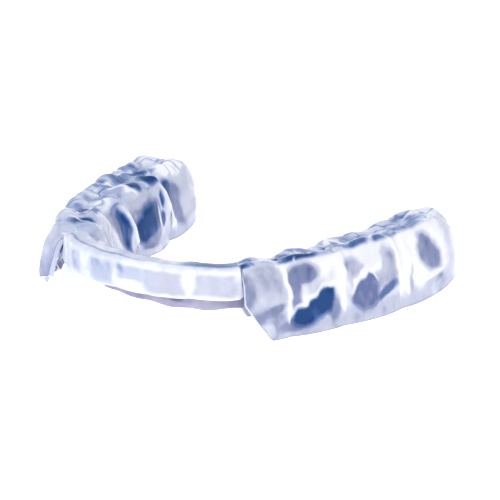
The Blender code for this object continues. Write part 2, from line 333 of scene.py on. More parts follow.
# Ridges between the panels: place at the top, place at the rim, half-width at the top and
# at the rim, height in mm.
CHEEK_RIDGES = (
    (17.2, 17.4, 0.5, 0.4, 0.12),
    (23.7, 23.7, 0.55, 0.3, 0.30),
    (32.0, 32.2, 1.25, 0.15, 0.45),
    (42.7, 42.9, 0.55, 0.3, 0.45),
    (44.6, 44.4, 0.65, 0.3, 0.40),
)
TONGUE_RIDGES = (
    (21.9, 27.2, 0.8, 0.5, 0.30),
    (27.6, 33.6, 0.9, 0.7, 0.80),
    (41.4, 45.4, 0.9, 0.8, 0.95),
    (52.0, 52.6, 0.9, 0.8, 0.30),
)
# Lobes of the biting surface: place along the arch, share of the half-width across, height
# in mm, reach along the arch and across it in mm.
LOBES = (
    (15.0, 0.45, 0.75, 3.0, 3.6),
    (15.2, -0.45, 0.55, 3.0, 3.2),
    (20.6, 0.52, 0.95, 3.0, 3.4),
    (20.9, -0.50, 0.75, 2.8, 3.6),
    (26.3, 0.52, 0.95, 2.9, 3.2),
    (30.0, 0.52, 0.75, 2.5, 3.0),
    (27.9, -0.50, 0.90, 3.8, 3.8),
    (34.2, 0.55, 0.90, 2.6, 3.4),
    (38.0, 0.55, 1.05, 2.7, 3.4),
    (41.6, 0.50, 0.85, 2.5, 3.2),
    (35.2, -0.52, 1.05, 3.9, 4.2),
    (40.4, -0.52, 0.95, 3.0, 4.0),
    (45.6, 0.52, 0.90, 2.8, 3.6),
    (49.8, 0.50, 0.90, 3.0, 3.6),
    (46.0, -0.52, 1.10, 3.1, 4.2),
    (50.6, -0.50, 0.90, 3.2, 4.0),
    (54.2, 0.00, 0.45, 2.6, 4.0),
)
LOBE_FLOOR = -0.75
LOBE_LOWER = 0.62
LOBE_BLEND = 0.16
LOBE_FALL = 0.8
LOBE_LIMIT = 30
CREASE_WIDTH = 0.10
PANEL_SINK = 0.26
PANEL_SOFT = 0.06
PANEL_END_SOFT = 0.35
# Shares of the wall's height over which the ridges start and end, and the top starts.
RIDGE_FOOT = (0.06, 0.30)
RIDGE_TOP = (0.90, 0.99)
TOP_START = (0.74, 0.96)
# How far the painted and raised shapes are moved about: in mm along the arch, and up the
# wall as a share of its height.
WARP_ALONG = 0.42
WARP_UP = 0.034


def box_mask(value, low, high, soft):
    return smooth(value, low - soft, low + soft) * (1 - smooth(value, high - soft, high + soft))


def panel_mask(s, up, cheek):
    """1 inside the clear panels over the teeth, 0 on the frames between and around them."""
    mask = np.zeros_like(s)
    for panels, on_side in ((CHEEK_PANELS, cheek), (TONGUE_PANELS, ~cheek)):
        for first, last, low, high in panels:
            box = box_mask(s, first, last, PANEL_END_SOFT)
            box = box * box_mask(up, low, high, PANEL_SOFT)
            mask = np.maximum(mask, np.where(on_side, box, 0.0))
    return mask


def ridge_mask(s, up, cheek):
    """(mask, height) of the ridges between the teeth, wide at the top and thin below."""
    mask = np.zeros_like(s)
    height = np.zeros_like(s)
    for ridges, on_side in ((CHEEK_RIDGES, cheek), (TONGUE_RIDGES, ~cheek)):
        for top, rim, wide, thin, stand in ridges:
            place = mix(rim, top, up)
            reach = mix(thin, wide, up)
            ridge = bell(s, place, reach)
            ridge = np.where(on_side, ridge * smooth(up, *RIDGE_FOOT), 0.0)
            mask = np.maximum(mask, ridge)
            height = np.maximum(height, stand * ridge)
    return mask, height * (1 - smooth(up, *RIDGE_TOP))


def lobe_field(s, width):
    """(height, crease): the lobes of the biting surface, and 1 along the lines between them."""
    cheek, tongue, _ = half_widths(s)
    total = np.full_like(s, math.exp(LOBE_FLOOR / LOBE_BLEND))
    best = np.full_like(s, LOBE_FLOOR)
    second = np.full_like(s, LOBE_FLOOR - 1.0)
    for place, aside, height, along, over in LOBES:
        middle = aside * np.where(aside > 0, cheek, tongue)
        away = ((s - place) / along) ** 2 + ((width - middle) / over) ** 2
        level = height - LOBE_FALL * away
        total = total + np.exp(np.clip(level / LOBE_BLEND, -LOBE_LIMIT, LOBE_LIMIT))
        second = np.maximum(second, np.minimum(best, level))
        best = np.maximum(best, level)
    crease = bell(best - second, 0.0, CREASE_WIDTH)
    return LOBE_BLEND * np.log(total) - LOBE_LOWER, crease


def warped(s, up, points):
    """The same places moved about a little, so that nothing painted or raised is straight."""
    s = s + WARP_ALONG * cloud(points, *ALONG_WARP)
    up = up + WARP_UP * cloud(points, *UP_WARP) * (1 - up)
    return s, up


# The hood and the first tooth behind it are smoother than the molars.
SMOOTH_END = 19.0
FULL_LOBES = 26.0
SMOOTH_SHARE = 0.4


def lobe_share(side, s):
    """How much of their full height the lobes have."""
    return mix(SMOOTH_SHARE, 1.0, smooth(s, SMOOTH_END, FULL_LOBES)) if side == LEFT else 1.0


# How far the tongue side of the biting surface lies below the cheek side, in mm, and how
# much of their height the ridges on the tongue side have.
TONGUE_LOWER = {LEFT: 0.2, RIGHT: 1.0}
TONGUE_RIDGE_SHARES = {LEFT: 1.0, RIGHT: 0.25}
# Distances across over which the tongue side's slope runs, heights of the swells in mm, and
# where the relief fades out before the back end.
TONGUE_SLOPE = (-1.0, 4.0)
BROAD_SWELL_HEIGHT = 0.10
TOP_SWELL_HEIGHT = 0.09
FADE_START = 2.2
FADE_END = 0.6


def pod_relief(side, s, angle, points):
    """How far the pod's surface stands out from its plain shape, in mm."""
    across, up = rounded_unit(angle)
    cheek = across > 0
    width = pod_point(side, s, angle, 0.0, 0.0)[0]
    s_warped, up_warped = warped(s, up, points)
    panel = panel_mask(s_warped, up_warped, cheek)
    ridge, ridge_height = ridge_mask(s_warped, up_warped, cheek)
    ridge_height = ridge_height * np.where(cheek, 1.0, TONGUE_RIDGE_SHARES[side])
    lobes = lobe_field(s_warped, width)[0] * lobe_share(side, s)
    top = smooth(up, *TOP_START)
    stand = ridge_height - PANEL_SINK * panel * (1 - ridge)
    stand = stand + (lobes - TONGUE_LOWER[side] * smooth(-width, *TONGUE_SLOPE)) * top
    stand = stand + BROAD_SWELL_HEIGHT * cloud(points, *BROAD_SWELL)
    stand = stand + TOP_SWELL_HEIGHT * cloud(points, *TOP_SWELL) * top
    closing = smooth(s, POD_BACKS[side] - FADE_START, POD_BACKS[side] - FADE_END)
    return stand * (1 - closing)


def row_shares(length, count, end_count):
    """Shares of a pod's length for its rows, closer together round the back end."""
    straight = length - END_RADIUS
    rows = np.linspace(0, straight, count, endpoint=False)
    turn = np.linspace(0, math.pi / 2, end_count + 1)
    rows = np.append(rows, straight + END_RADIUS * np.sin(turn))
    return rows / length


def pod_skin(side, shares, angles, front, wall, roof):
    """(points, s) grids of one plain skin of a pod, on the +X side."""
    start = front_edge(angles, front)
    s = start + shares[:, None] * (POD_BACKS[side] - wall - start)
    across, z = pod_point(side, s, angles, wall, roof)
    return on_arch(s, across, z), s


# The middle of a pod, which its outside faces away from, as a share of its height.
POD_MIDDLE = 0.45
SMALLEST_LENGTH = 1e-6


def unit(vectors):
    """The same directions with a length of 1; one with no length stays as it is."""
    length = np.linalg.norm(vectors, axis=-1, keepdims=True)
    return vectors / np.maximum(length, SMALLEST_LENGTH)


def skin_normals(points, s):
    """Directions away from the middle of the pod."""
    normal = unit(np.cross(np.gradient(points, axis=1), np.gradient(points, axis=0)))
    outward = points - on_arch(s, 0.0, POD_MIDDLE * POD_HEIGHT)
    inwards = (normal * outward).sum(-1, keepdims=True) < 0
    return np.where(inwards, -normal, normal)


# ---- tones of the plastic

# A tone is 0 where the plastic is milky white, 1 where it is thick, clear and deep blue.
# In places the tone also carries painted highlights and painted shade.
# Lilac is how far its colour leans from blue to lilac.
RIM_TONE = 0.33
# On the cheek side and on the tongue side.
FRAME_TONES = (0.07, 0.20)
# Patches on the walls: place along the arch, share of the height, reach along the arch,
# reach up the wall, how much the patch leans, tone. One is a painted highlight, marked below.
CHEEK_PATCHES = (
    (20.4, 0.65, 3.0, 0.26, 0.00, 0.42),
    (18.4, 0.62, 0.9, 0.22, 0.00, 0.52),
    (20.6, 0.87, 2.0, 0.06, 0.00, 0.44),
    (21.2, 0.52, 1.5, 0.10, 0.00, 0.28),
    (20.8, 0.20, 2.6, 0.22, 0.00, 0.50),
    (21.4, 0.36, 1.8, 0.06, 0.04, 0.58),
    (20.2, 0.12, 1.0, 0.08, 0.00, 0.26),
    (24.6, 0.15, 2.8, 0.09, 0.02, 0.60),
    (28.0, 0.06, 3.0, 0.05, 0.01, 0.38),
    (26.4, 0.77, 2.3, 0.13, 0.00, 0.60),
    (24.9, 0.58, 0.9, 0.26, 0.00, 0.64),
    (28.2, 0.60, 2.5, 0.11, 0.03, 0.15),
    (30.8, 0.28, 1.2, 0.16, 0.00, 0.50),
    (34.4, 0.71, 1.9, 0.13, 0.00, 0.42),
    (33.2, 0.50, 0.8, 0.20, 0.00, 0.24),
    (37.9, 0.80, 2.2, 0.12, 0.00, 0.04),
    (36.6, 0.66, 1.8, 0.05, 0.03, 0.02),
    (41.2, 0.60, 1.4, 0.26, 0.00, 0.40),
    (39.2, 0.48, 2.6, 0.13, 0.00, 0.36),
    (40.2, 0.33, 2.2, 0.07, 0.035, 0.78),
    (36.2, 0.09, 3.4, 0.06, 0.00, 0.42),
    (45.2, 0.36, 0.45, 0.20, 0.00, 0.36),
    (49.3, 0.58, 2.1, 0.23, -0.045, 0.60),
    (48.4, 0.66, 1.1, 0.17, -0.045, 0.66),
    # A painted highlight below the back molar's panel.
    (49.6, 0.29, 2.0, 0.035, 0.00, 0.00),
    (49.8, 0.19, 2.0, 0.055, 0.00, 0.42),
    (54.5, 0.45, 2.0, 0.50, 0.00, 0.16),
)
# Dark hollows behind the cheek walls: places along the arch, the levels of the upper edge
# and of the lower edge there, tone, lilac.
CHEEK_HOLLOWS = (
    ((24.3, 25.6, 27.0, 28.4, 29.8, 30.9), (0.28, 0.37, 0.43, 0.52, 0.56, 0.52),
     (0.16, 0.13, 0.13, 0.18, 0.24, 0.28), 1.06, 0.0),
    ((33.5, 34.4, 35.4, 36.5, 37.6, 38.4), (0.36, 0.48, 0.55, 0.61, 0.58, 0.46),
     (0.26, 0.20, 0.17, 0.18, 0.20, 0.26), 0.80, 0.7),
)
HOLLOW_SOFT = 0.022
HOLLOW_END_SOFT = 0.5
HOLLOW_WAVE = (0.014, 3.1, 0.0)
HOLLOW_FOOT = (0.08, 0.06)
HOLLOW_STREAK = 0.20
HOLLOW_STREAKS = (-0.2, 0.9)
# The white line over a hollow: how far above its edge, and half-width.
HOLLOW_LINE = (0.045, 0.022)
TONGUE_PATCHES = (
    (19.8, 0.62, 1.6, 0.16, 0.00, 0.40),
    (23.0, 0.74, 1.6, 0.08, 0.00, 0.34),
    (26.4, 0.62, 1.8, 0.26, -0.075, 0.56),
    (28.4, 0.54, 1.5, 0.30, -0.075, 0.98),
    (36.2, 0.50, 4.6, 0.36, 0.00, 0.50),
    (34.8, 0.76, 2.4, 0.08, 0.00, 0.36),
    (37.4, 0.49, 3.0, 0.22, 0.00, 1.00),
    (34.8, 0.36, 2.0, 0.18, 0.00, 1.00),
    (37.0, 0.18, 3.0, 0.09, 0.03, 0.62),
    (41.2, 0.40, 0.9, 0.10, 0.00, 0.96),
    (39.9, 0.46, 0.35, 0.16, 0.00, 0.16),
    (41.8, 0.66, 0.35, 0.13, -0.05, 0.90),
    (37.5, 0.06, 4.6, 0.05, 0.00, 0.26),
    (45.2, 0.60, 1.1, 0.34, -0.10, 0.90),
    (46.8, 0.46, 2.0, 0.32, -0.04, 0.60),
    (49.9, 0.45, 2.6, 0.36, 0.00, 0.34),
    (52.8, 0.60, 2.0, 0.34, 0.00, 0.18),
)
# Patches on the biting surface: place along the arch, distance across, reaches, tone. Some are
# painted light, marked below.
TOP_PATCHES = {}
TOP_PATCHES[LEFT] = (
    (14.6, 0.0, 0.8, 2.4, 0.34),
    (15.6, -3.2, 2.6, 1.4, 0.46),
    (20.0, -3.2, 2.2, 1.6, 0.40),
    (20.2, 1.4, 2.2, 1.8, 0.34),
    # Painted shade in a dent.
    (17.9, -1.1, 1.1, 2.0, 0.98),
    (18.8, 4.0, 1.4, 1.0, 0.50),
    # Painted shade in a dent.
    (22.6, -1.3, 1.2, 2.0, 0.98),
    (26.0, -2.4, 1.8, 1.4, 0.08),
    (26.4, 3.0, 1.6, 0.9, 0.60),
    (29.8, -1.4, 0.5, 1.5, 0.70),
    (33.4, -1.0, 2.2, 1.6, 0.48),
    (36.2, -3.4, 1.2, 1.1, 1.00),
    (33.6, -4.4, 2.2, 1.0, 0.26),
    (38.8, 1.0, 1.3, 1.8, 0.74),
    (41.0, -3.0, 1.5, 1.5, 1.00),
    (43.2, -0.4, 1.3, 1.4, 0.90),
    (44.6, 2.6, 1.0, 1.4, 0.70),
    (46.5, 3.8, 4.0, 0.8, 0.42),
    # A painted highlight on a lobe.
    (48.0, -3.6, 3.0, 2.0, 0.0),
    (50.0, 1.5, 2.4, 1.6, 0.12),
)
TOP_PATCHES[RIGHT] = (
    (18.5, 3.4, 0.8, 1.6, 1.00),
    (20.8, 2.2, 1.8, 1.4, 0.40),
    (22.6, 3.8, 1.6, 0.8, 0.80),
    (26.6, 2.8, 2.6, 2.0, 1.00),
    (25.2, 0.2, 1.6, 1.2, 0.80),
    (30.6, 3.8, 1.4, 1.0, 0.64),
    (31.4, 1.0, 1.6, 1.2, 0.58),
    (36.6, 3.2, 2.0, 1.5, 0.82),
    (40.6, 3.2, 1.5, 1.2, 0.76),
    (38.6, 0.4, 2.2, 1.2, 0.56),
    (44.0, 2.6, 1.6, 1.0, 0.54),
    (47.6, 2.2, 2.4, 1.4, 0.54),
    (50.4, 1.4, 1.8, 0.8, 0.72),
    (53.0, 1.0, 2.0, 2.4, 0.12),
)
TOP_TONES = {LEFT: 0.44, RIGHT: 0.38}
PATCH_POWER = 2.4
WALL_PATCH_SOFT = 0.36
TOP_PATCH_SOFT = 0.40
BAND_PATCH_SOFT = 0.60


def patch_weight(first, second, soft):
    """1 inside a rounded patch, with a short soft edge."""
    reach = (np.abs(first) ** PATCH_POWER + np.abs(second) ** PATCH_POWER) ** (1 / PATCH_POWER)
    return 1 - smooth(reach, 1 - soft, 1 + soft)


def hollow_weights(s, up, places, uppers, lowers):
    """(inside, line above) of a dark hollow between a wavy upper edge and a lower edge."""
    upper = np.interp(s, places, uppers) + wave(s, *HOLLOW_WAVE)
    lower = np.interp(s, places, lowers)
    within = box_mask(s, places[0], places[-1], HOLLOW_END_SOFT)
    below = 1 - smooth(up, upper - HOLLOW_SOFT, upper + HOLLOW_SOFT)
    inside = within * below * smooth(up, lower - HOLLOW_FOOT[0], lower + HOLLOW_FOOT[1])
    return inside, within * bell(up - upper, *HOLLOW_LINE)


# Tones that count as light and as deep; then the clearness and the lilac of each.
DEEP_TONES = (0.60, 0.95)
PATCH_CLEARNESS = (0.18, 0.02)
PATCH_LILAC = (0.65, 0.0)
# The wall away from its patches, from the rim to the frames above it.
RIM_TO_FRAME = (0.08, 0.36)
RIM_CLEARNESS = 0.20
FRAME_CLEARNESS = 0.08
CLEAR_RANGE = (0.05, 0.35)
WALL_LILAC = 0.55
DEEP_CLEARNESS = 0.02
RIDGE_TONES = (0.03, 0.12)
RIDGE_CLEARNESS = 0.05
RIDGE_RANGE = (0.20, 0.90)
STREAK_SQUASH = (1.0, 1.0, 0.50)
STREAK_TONE = 0.13
STREAK_RANGE = (-0.1, 0.3)


def deepness(tone):
    """0 for a light tone and 1 for a deep blue one."""
    return smooth(tone, *DEEP_TONES)


def wall_tones(s, up, cheek, points):
    """(tone, clearness, lilac) over the walls."""
    streaks = cloud(points * STREAK_SQUASH, *STREAKS)
    tone = mix(RIM_TONE, np.where(cheek, *FRAME_TONES), smooth(up, *RIM_TO_FRAME))
    clearness = mix(RIM_CLEARNESS, FRAME_CLEARNESS, smooth(up, *CLEAR_RANGE))
    lilac = np.full_like(s, WALL_LILAC)
    for patches, on_side in ((CHEEK_PATCHES, cheek), (TONGUE_PATCHES, ~cheek)):
        for place, high, along, tall, lean, patch_tone in patches:
            level = (up - high - lean * (s - place)) / tall
            weight = patch_weight((s - place) / along, level, WALL_PATCH_SOFT)
            weight = np.where(on_side, weight, 0.0)
            tone = mix(tone, patch_tone, weight)
            clearness = mix(clearness, mix(*PATCH_CLEARNESS, deepness(patch_tone)), weight)
            lilac = mix(lilac, mix(*PATCH_LILAC, deepness(patch_tone)), weight)
    for places, uppers, lowers, hollow_tone, hollow_lilac in CHEEK_HOLLOWS:
        inside, line = hollow_weights(s, up, places, uppers, lowers)
        inside = np.where(cheek, inside, 0.0)
        streaked = hollow_tone - HOLLOW_STREAK * smooth(streaks, *HOLLOW_STREAKS)
        tone = mix(tone, streaked, inside)
        tone = mix(tone, 0.0, np.where(cheek, line, 0.0))
        clearness = mix(clearness, DEEP_CLEARNESS, inside)
        lilac = mix(lilac, hollow_lilac, inside)
    ridge = smooth(ridge_mask(s, up, cheek)[0], *RIDGE_RANGE)
    tone = mix(tone, np.where(cheek, *RIDGE_TONES), ridge)
    clearness = mix(clearness, RIDGE_CLEARNESS, ridge)
    return tone + STREAK_TONE * streaks * smooth(tone, *STREAK_RANGE), clearness, lilac


# The biting surface: its mottling, the painted highlight on the lobes' tops, and the dark and
# light lines that run over it, which start behind the left pod's hood. The dark lines along the
# creases between the lobes are painted shade.
TOP_MOTTLE_TONE = 0.28
LOBE_HIGHLIGHT_TONE = 0.06
LOBE_HIGHLIGHT_SHARE = 0.40
LOBE_HIGHLIGHT_RANGE = (-0.05, 0.30)
BREAK_RANGE = (-0.3, 0.5)
CREASE_SHADE_SHARE = 0.8
VEIN_SHARE = 0.6
LINE_TONE = 0.95
LINE_SHARE = 0.8
LIGHT_VEIN_SHARE = 0.9
LINE_STARTS = (19.0, 25.0)


def top_tones(s, width, points, side):
    """Tone over the biting surface."""
    mottle = TOP_MOTTLE_TONE * cloud(points, *TOP_MOTTLE) * lobe_share(side, s)
    lobes, crease = lobe_field(s, width)
    # A painted highlight: the tone goes towards white where the lobes stand highest.
    tone = mix(TOP_TONES[side] + mottle, LOBE_HIGHLIGHT_TONE, LOBE_HIGHLIGHT_SHARE * smooth(lobes, *LOBE_HIGHLIGHT_RANGE))
    for place, aside, along, over, patch_tone in TOP_PATCHES[side]:
        weight = patch_weight((s - place) / along, (width - aside) / over, TOP_PATCH_SOFT)
        tone = mix(tone, patch_tone, weight)
    broken = smooth(cloud(points, *LINE_BREAKS), *BREAK_RANGE)
    # Painted shade along the creases between the lobes, broken up; the dark veins wind at random.
    lines = np.maximum(CREASE_SHADE_SHARE * crease * broken, VEIN_SHARE * veins(points, *DARK_VEINS))
    lines = lines * smooth(s, *LINE_STARTS) if side == LEFT else lines
    tone = mix(tone, LINE_TONE, lines * LINE_SHARE)
    return mix(tone, 0.0, LIGHT_VEIN_SHARE * veins(points, *LIGHT_VEINS) * broken)


# Where the walls' tones give way to the biting surface's, as shares of the height.
CHEEK_SHOULDER = (0.91, 0.96)
TONGUE_SHOULDER = (0.80, 0.90)
TOP_CLEARNESS = 0.06
# The back end: where its own tone starts, how it is streaked.
BACK_START = 3.2
BACK_FULL = 0.8
BACK_TONE = 0.20
BACK_STREAK = 0.14
BACK_SQUASH = (1.0, 1.0, 0.4)
# The hood: how far behind its front it ends, its share on the tongue side and the top, and
# its tones from the rim up.
HOOD_FADE = 1.5
HOOD_TOP_SHARE = 0.6
HOOD_TONES = (0.52, 0.40)
HOOD_RANGE = (0.2, 0.6)
HOOD_MOTTLE_TONE = 0.08
# The blue line along the left pod's outer shoulder.
SHOULDER_ACROSS = (2.0, 3.2)
SHOULDER_UP = (0.75, 0.90)
SHOULDER_TONE = 0.56
SHOULDER_MOTTLE_TONE = 0.15
SHOULDER_SHARE = 0.8


def pod_tones(s, angle, points, side):
    """(tone, clearness, lilac) over a pod's outside."""
    across, up = rounded_unit(angle)
    cheek = across > 0
    width = pod_point(side, s, angle, 0.0, 0.0)[0]
    s_warped, up_warped = warped(s, up, points)
    tone, clearness, lilac = wall_tones(s_warped, up_warped, cheek, points)
    top = np.where(cheek, smooth(up, *CHEEK_SHOULDER), smooth(up, *TONGUE_SHOULDER))
    tone = mix(tone, top_tones(s_warped, width, points, side), top)
    clearness = mix(clearness, TOP_CLEARNESS, top)
    lilac = mix(lilac, 0.0, top)
    back = smooth(s, POD_BACKS[side] - BACK_START, POD_BACKS[side] - BACK_FULL)
    tone = mix(tone, BACK_TONE + BACK_STREAK * cloud(points * BACK_SQUASH, *STREAKS), back)
    if side == LEFT:
        line = smooth(width, *SHOULDER_ACROSS) * smooth(up, *SHOULDER_UP) * (1 - back)
        line_tone = SHOULDER_TONE + SHOULDER_MOTTLE_TONE * cloud(points, *SHOULDER_MOTTLE)
        tone = mix(tone, line_tone, SHOULDER_SHARE * line)
        hood = smooth(s, POD_FRONT, POD_FRONT - HOOD_FADE)
        hood_tone = mix(*HOOD_TONES, smooth(up, *HOOD_RANGE))
        hood_tone = hood_tone + HOOD_MOTTLE_TONE * cloud(points, *HOOD_MOTTLE)
        tone = mix(tone, hood_tone, hood * np.where(cheek, 1 - top, HOOD_TOP_SHARE))
    return tuple(np.clip(value, 0.0, 1.0) for value in (tone, clearness, lilac))


# ---- mesh making


def make_object(name, points, faces, values, finish):
    """An object from points in mm, faces as rows of four corners and per-point values.

    A face whose last two corners are the same is a triangle.
    """
    sides = np.where(faces[:, 2] == faces[:, 3], 3, 4)
    keep = np.ones(faces.shape, bool)
    keep[:, 3] = sides == 4
    corners = faces[keep]
    if signed_volume(points, faces) < 0:
        flipped = faces[:, ::-1].copy()
        triangle = sides == 3
        flipped[triangle] = faces[triangle][:, [1, 0, 2, 2]]
        corners = flipped[keep]
    mesh = bpy.data.meshes.new(name)
    mesh.vertices.add(len(points))
    mesh.vertices.foreach_set("co", (placed(points) * MM).ravel())
    mesh.loops.add(len(corners))
    mesh.loops.foreach_set("vertex_index", corners)
    mesh.polygons.add(len(faces))
    mesh.polygons.foreach_set("loop_start", np.cumsum(sides) - sides)
    mesh.update(calc_edges=True)
    mesh.validate()
    for key, value in values.items():
        layer = mesh.attributes.new(key, "FLOAT", "POINT")
        layer.data.foreach_set("value", np.asarray(value, np.float32))
    mesh.materials.append(finish)
    mesh.shade_smooth()
    made = bpy.data.objects.new(name, mesh)
    bpy.context.scene.collection.objects.link(made)
    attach(made, "root")
    return made


def signed_volume(points, faces):
    a, b, c, d = (points[faces[:, k]] for k in range(4))
    first = np.einsum("ij,ij->i", a, np.cross(b, c)).sum()
    return first + np.einsum("ij,ij->i", a, np.cross(c, d)).sum()


def grid_faces(index):
    """Faces over a grid of vertex numbers."""
    quads = np.stack([index[:-1, :-1], index[:-1, 1:], index[1:, 1:], index[1:, :-1]], axis=-1)
    return quads.reshape(-1, 4)


def edge_loop(index, closed_tip):
    """The vertex numbers round the edge of a grid, in order, and their inner neighbours."""
    parts = [
        (index[::-1, 0], index[::-1, 1]),
        (index[0, 1:-1], index[1, 1:-1]),
        (index[:, -1], index[:, -2]),
    ]
    if closed_tip:
        parts[2] = (index[:-1, -1], index[:-1, -2])
    else:
        parts.append((index[-1, -2:0:-1], index[-2, -2:0:-1]))
    return (np.concatenate(side) for side in zip(*parts))


LIP_STEPS = 4
LIP_REACH = 0.5


def lipped_body(outer, inner, values, closed_tip):
    """A closed body of two sheets whose edges are joined by a rounded lip.

    outer and inner are (rows, columns, 3) grids. values maps an attribute's name to its
    (outer grid, inner grid, lip value).
    """
    rows, columns = outer.shape[:2]
    count = rows * columns
    index = np.arange(count).reshape(rows, columns)
    if closed_tip:
        index[-1, :] = index[-1, 0]
    points = [outer.reshape(-1, 3), inner.reshape(-1, 3)]
    sheet = grid_faces(index)
    faces = [sheet, sheet[:, [0, 3, 2, 1]] + count]
    if closed_tip:
        last = columns - 1
        faces[1][-last:] = sheet[-last:, [1, 0, 2, 3]] + count
    loop, inward = edge_loop(index, closed_tip)
    near = points[0][loop]
    far = points[1][loop]
    away = unit(near - points[0][inward])
    half = (near - far) / 2
    size = np.linalg.norm(half, axis=1, keepdims=True)
    rings = [loop]
    for step in range(1, LIP_STEPS):
        turn = math.pi * step / LIP_STEPS
        bulge = away * size * LIP_REACH * math.sin(turn)
        points.append((near + far) / 2 + half * math.cos(turn) + bulge)
        start = 2 * count + (step - 1) * len(loop)
        rings.append(np.arange(start, start + len(loop)))
    rings.append(loop + count)
    for first, second in zip(rings, rings[1:]):
        before, beyond = np.roll(first, 1), np.roll(second, 1)
        faces.append(np.stack([before, first, second, beyond], axis=1))
    points = np.concatenate(points)
    faces = np.concatenate(faces)
    lip = np.ones(len(points) - 2 * count)
    merged = {}
    for key, (outside, inside, on_lip) in values.items():
        merged[key] = np.concatenate([outside.ravel(), inside.ravel(), on_lip * lip])
    points[:, 2] = np.maximum(points[:, 2], 0.0)
    used, renumbered = np.unique(faces, return_inverse=True)
    faces = renumbered.reshape(-1, 4)
    return points[used], faces, {key: value[used] for key, value in merged.items()}


# ---- materials

# Colours of the plastic at tones 0, 0.3, 0.6, 0.8 and 1.
TONE_STOPS = (0.0, 0.3, 0.6, 0.8, 1.0)
BLUE_TONES = (
    (0.86, 0.885, 0.945),
    (0.53, 0.585, 0.755),
    (0.195, 0.272, 0.51),
    (0.06, 0.132, 0.355),
    (0.003, 0.044, 0.175),
)
LILAC_TONES = (
    (0.86, 0.865, 0.935),
    (0.55, 0.56, 0.69),
    (0.235, 0.25, 0.40),
    (0.12, 0.13, 0.26),
    (0.03, 0.05, 0.18),
)
# The strip's colours, greyer than the rest: painted shade, as the strip lies in shade behind and
# below the band.
SHADED_STRIP_TONES = (
    (0.78, 0.77, 0.86),
    (0.50, 0.49, 0.64),
    (0.34, 0.32, 0.48),
    (0.16, 0.15, 0.28),
    (0.05, 0.05, 0.14),
)


# Shader settings that every plastic shares.
IOR = 1.36
SPECULAR_LEVEL = 0.15
COAT_ROUGHNESS = 0.05
BUMP_STRENGTH = 0.12
BUMP_HEIGHT = 0.0002
# Noise textures: scale, detail, distortion.
HAZE_NOISE = (520.0, 5.0, 0.8)
ROUGHNESS_NOISE = (300.0, 3.0, 0.0)
BUMP_NOISE = (900.0, 3.0, 0.3)
# Sockets of a colour mix, by number: share, first colour, second colour; and its result.
MIX_INPUTS = (0, 6, 7)
MIX_OUTPUT = 2


def new_material(name):
    finish = bpy.data.materials.new(name)
    finish.use_nodes = True
    tree = finish.node_tree
    return finish, tree, tree.nodes["Principled BSDF"]


def attribute(tree, name):
    node = tree.nodes.new("ShaderNodeAttribute")
    node.attribute_name = name
    return node.outputs["Fac"]


def ranged(tree, value, low, high):
    """value, from 0 to 1, as a number from low to high."""
    node = tree.nodes.new("ShaderNodeMapRange")
    node.inputs["To Min"].default_value = low
    node.inputs["To Max"].default_value = high
    tree.links.new(value, node.inputs["Value"])
    return node.outputs["Result"]


def noise_output(tree, scale, detail, distortion):
    place = tree.nodes.new("ShaderNodeTexCoord")
    node = tree.nodes.new("ShaderNodeTexNoise")
    node.inputs["Scale"].default_value = scale
    node.inputs["Detail"].default_value = detail
    node.inputs["Distortion"].default_value = distortion
    tree.links.new(place.outputs["Object"], node.inputs["Vector"])
    return node.outputs["Fac"]


def added(tree, first, second):
    node = tree.nodes.new("ShaderNodeMath")
    node.operation = "ADD"
    tree.links.new(first, node.inputs[0])
    tree.links.new(second, node.inputs[1])
    return node.outputs[0]


def tone_ramp(tree, value, colours):
    """The colour at this tone."""
    ramp = tree.nodes.new("ShaderNodeValToRGB")
    ramp.color_ramp.interpolation = "EASE"
    stops = ramp.color_ramp.elements
    while len(stops) < len(TONE_STOPS):
        stops.new(0.5)
    for stop, place, colour in zip(stops, TONE_STOPS, colours):
        stop.position = place
        stop.color = (*colour, 1.0)
    tree.links.new(value, ramp.inputs["Fac"])
    return ramp.outputs["Color"]


def mixed_colour(tree, share, first, second):
    node = tree.nodes.new("ShaderNodeMix")
    node.data_type = "RGBA"
    for number, output in zip(MIX_INPUTS, (share, first, second)):
        tree.links.new(output, node.inputs[number])
    return node.outputs[MIX_OUTPUT]


def clear_plastic(name, colours, haze, roughness, coat):
    """Clear plastic whose colour and clearness follow the mesh's own values.

    colours gives the ramps for a lilac share of 0 and of 1.
    """
    finish, tree, shader = new_material(name)
    tone = attribute(tree, "tone")
    mottled = added(tree, tone, ranged(tree, noise_output(tree, *HAZE_NOISE), -haze, haze))
    blue, lilac = (tone_ramp(tree, mottled, ramp) for ramp in colours)
    colour = mixed_colour(tree, attribute(tree, "lilac"), blue, lilac)
    tree.links.new(colour, shader.inputs["Base Color"])
    tree.links.new(attribute(tree, "clearness"), shader.inputs["Transmission Weight"])
    patchy = noise_output(tree, *ROUGHNESS_NOISE)
    tree.links.new(ranged(tree, patchy, *roughness), shader.inputs["Roughness"])
    shader.inputs["IOR"].default_value = IOR
    shader.inputs["Coat Weight"].default_value = coat
    shader.inputs["Coat Roughness"].default_value = COAT_ROUGHNESS
    shader.inputs["Specular IOR Level"].default_value = SPECULAR_LEVEL
    relief = tree.nodes.new("ShaderNodeBump")
    relief.inputs["Strength"].default_value = BUMP_STRENGTH
    relief.inputs["Distance"].default_value = BUMP_HEIGHT
    tree.links.new(noise_output(tree, *BUMP_NOISE), relief.inputs["Height"])
    tree.links.new(relief.outputs["Normal"], shader.inputs["Normal"])
    return finish


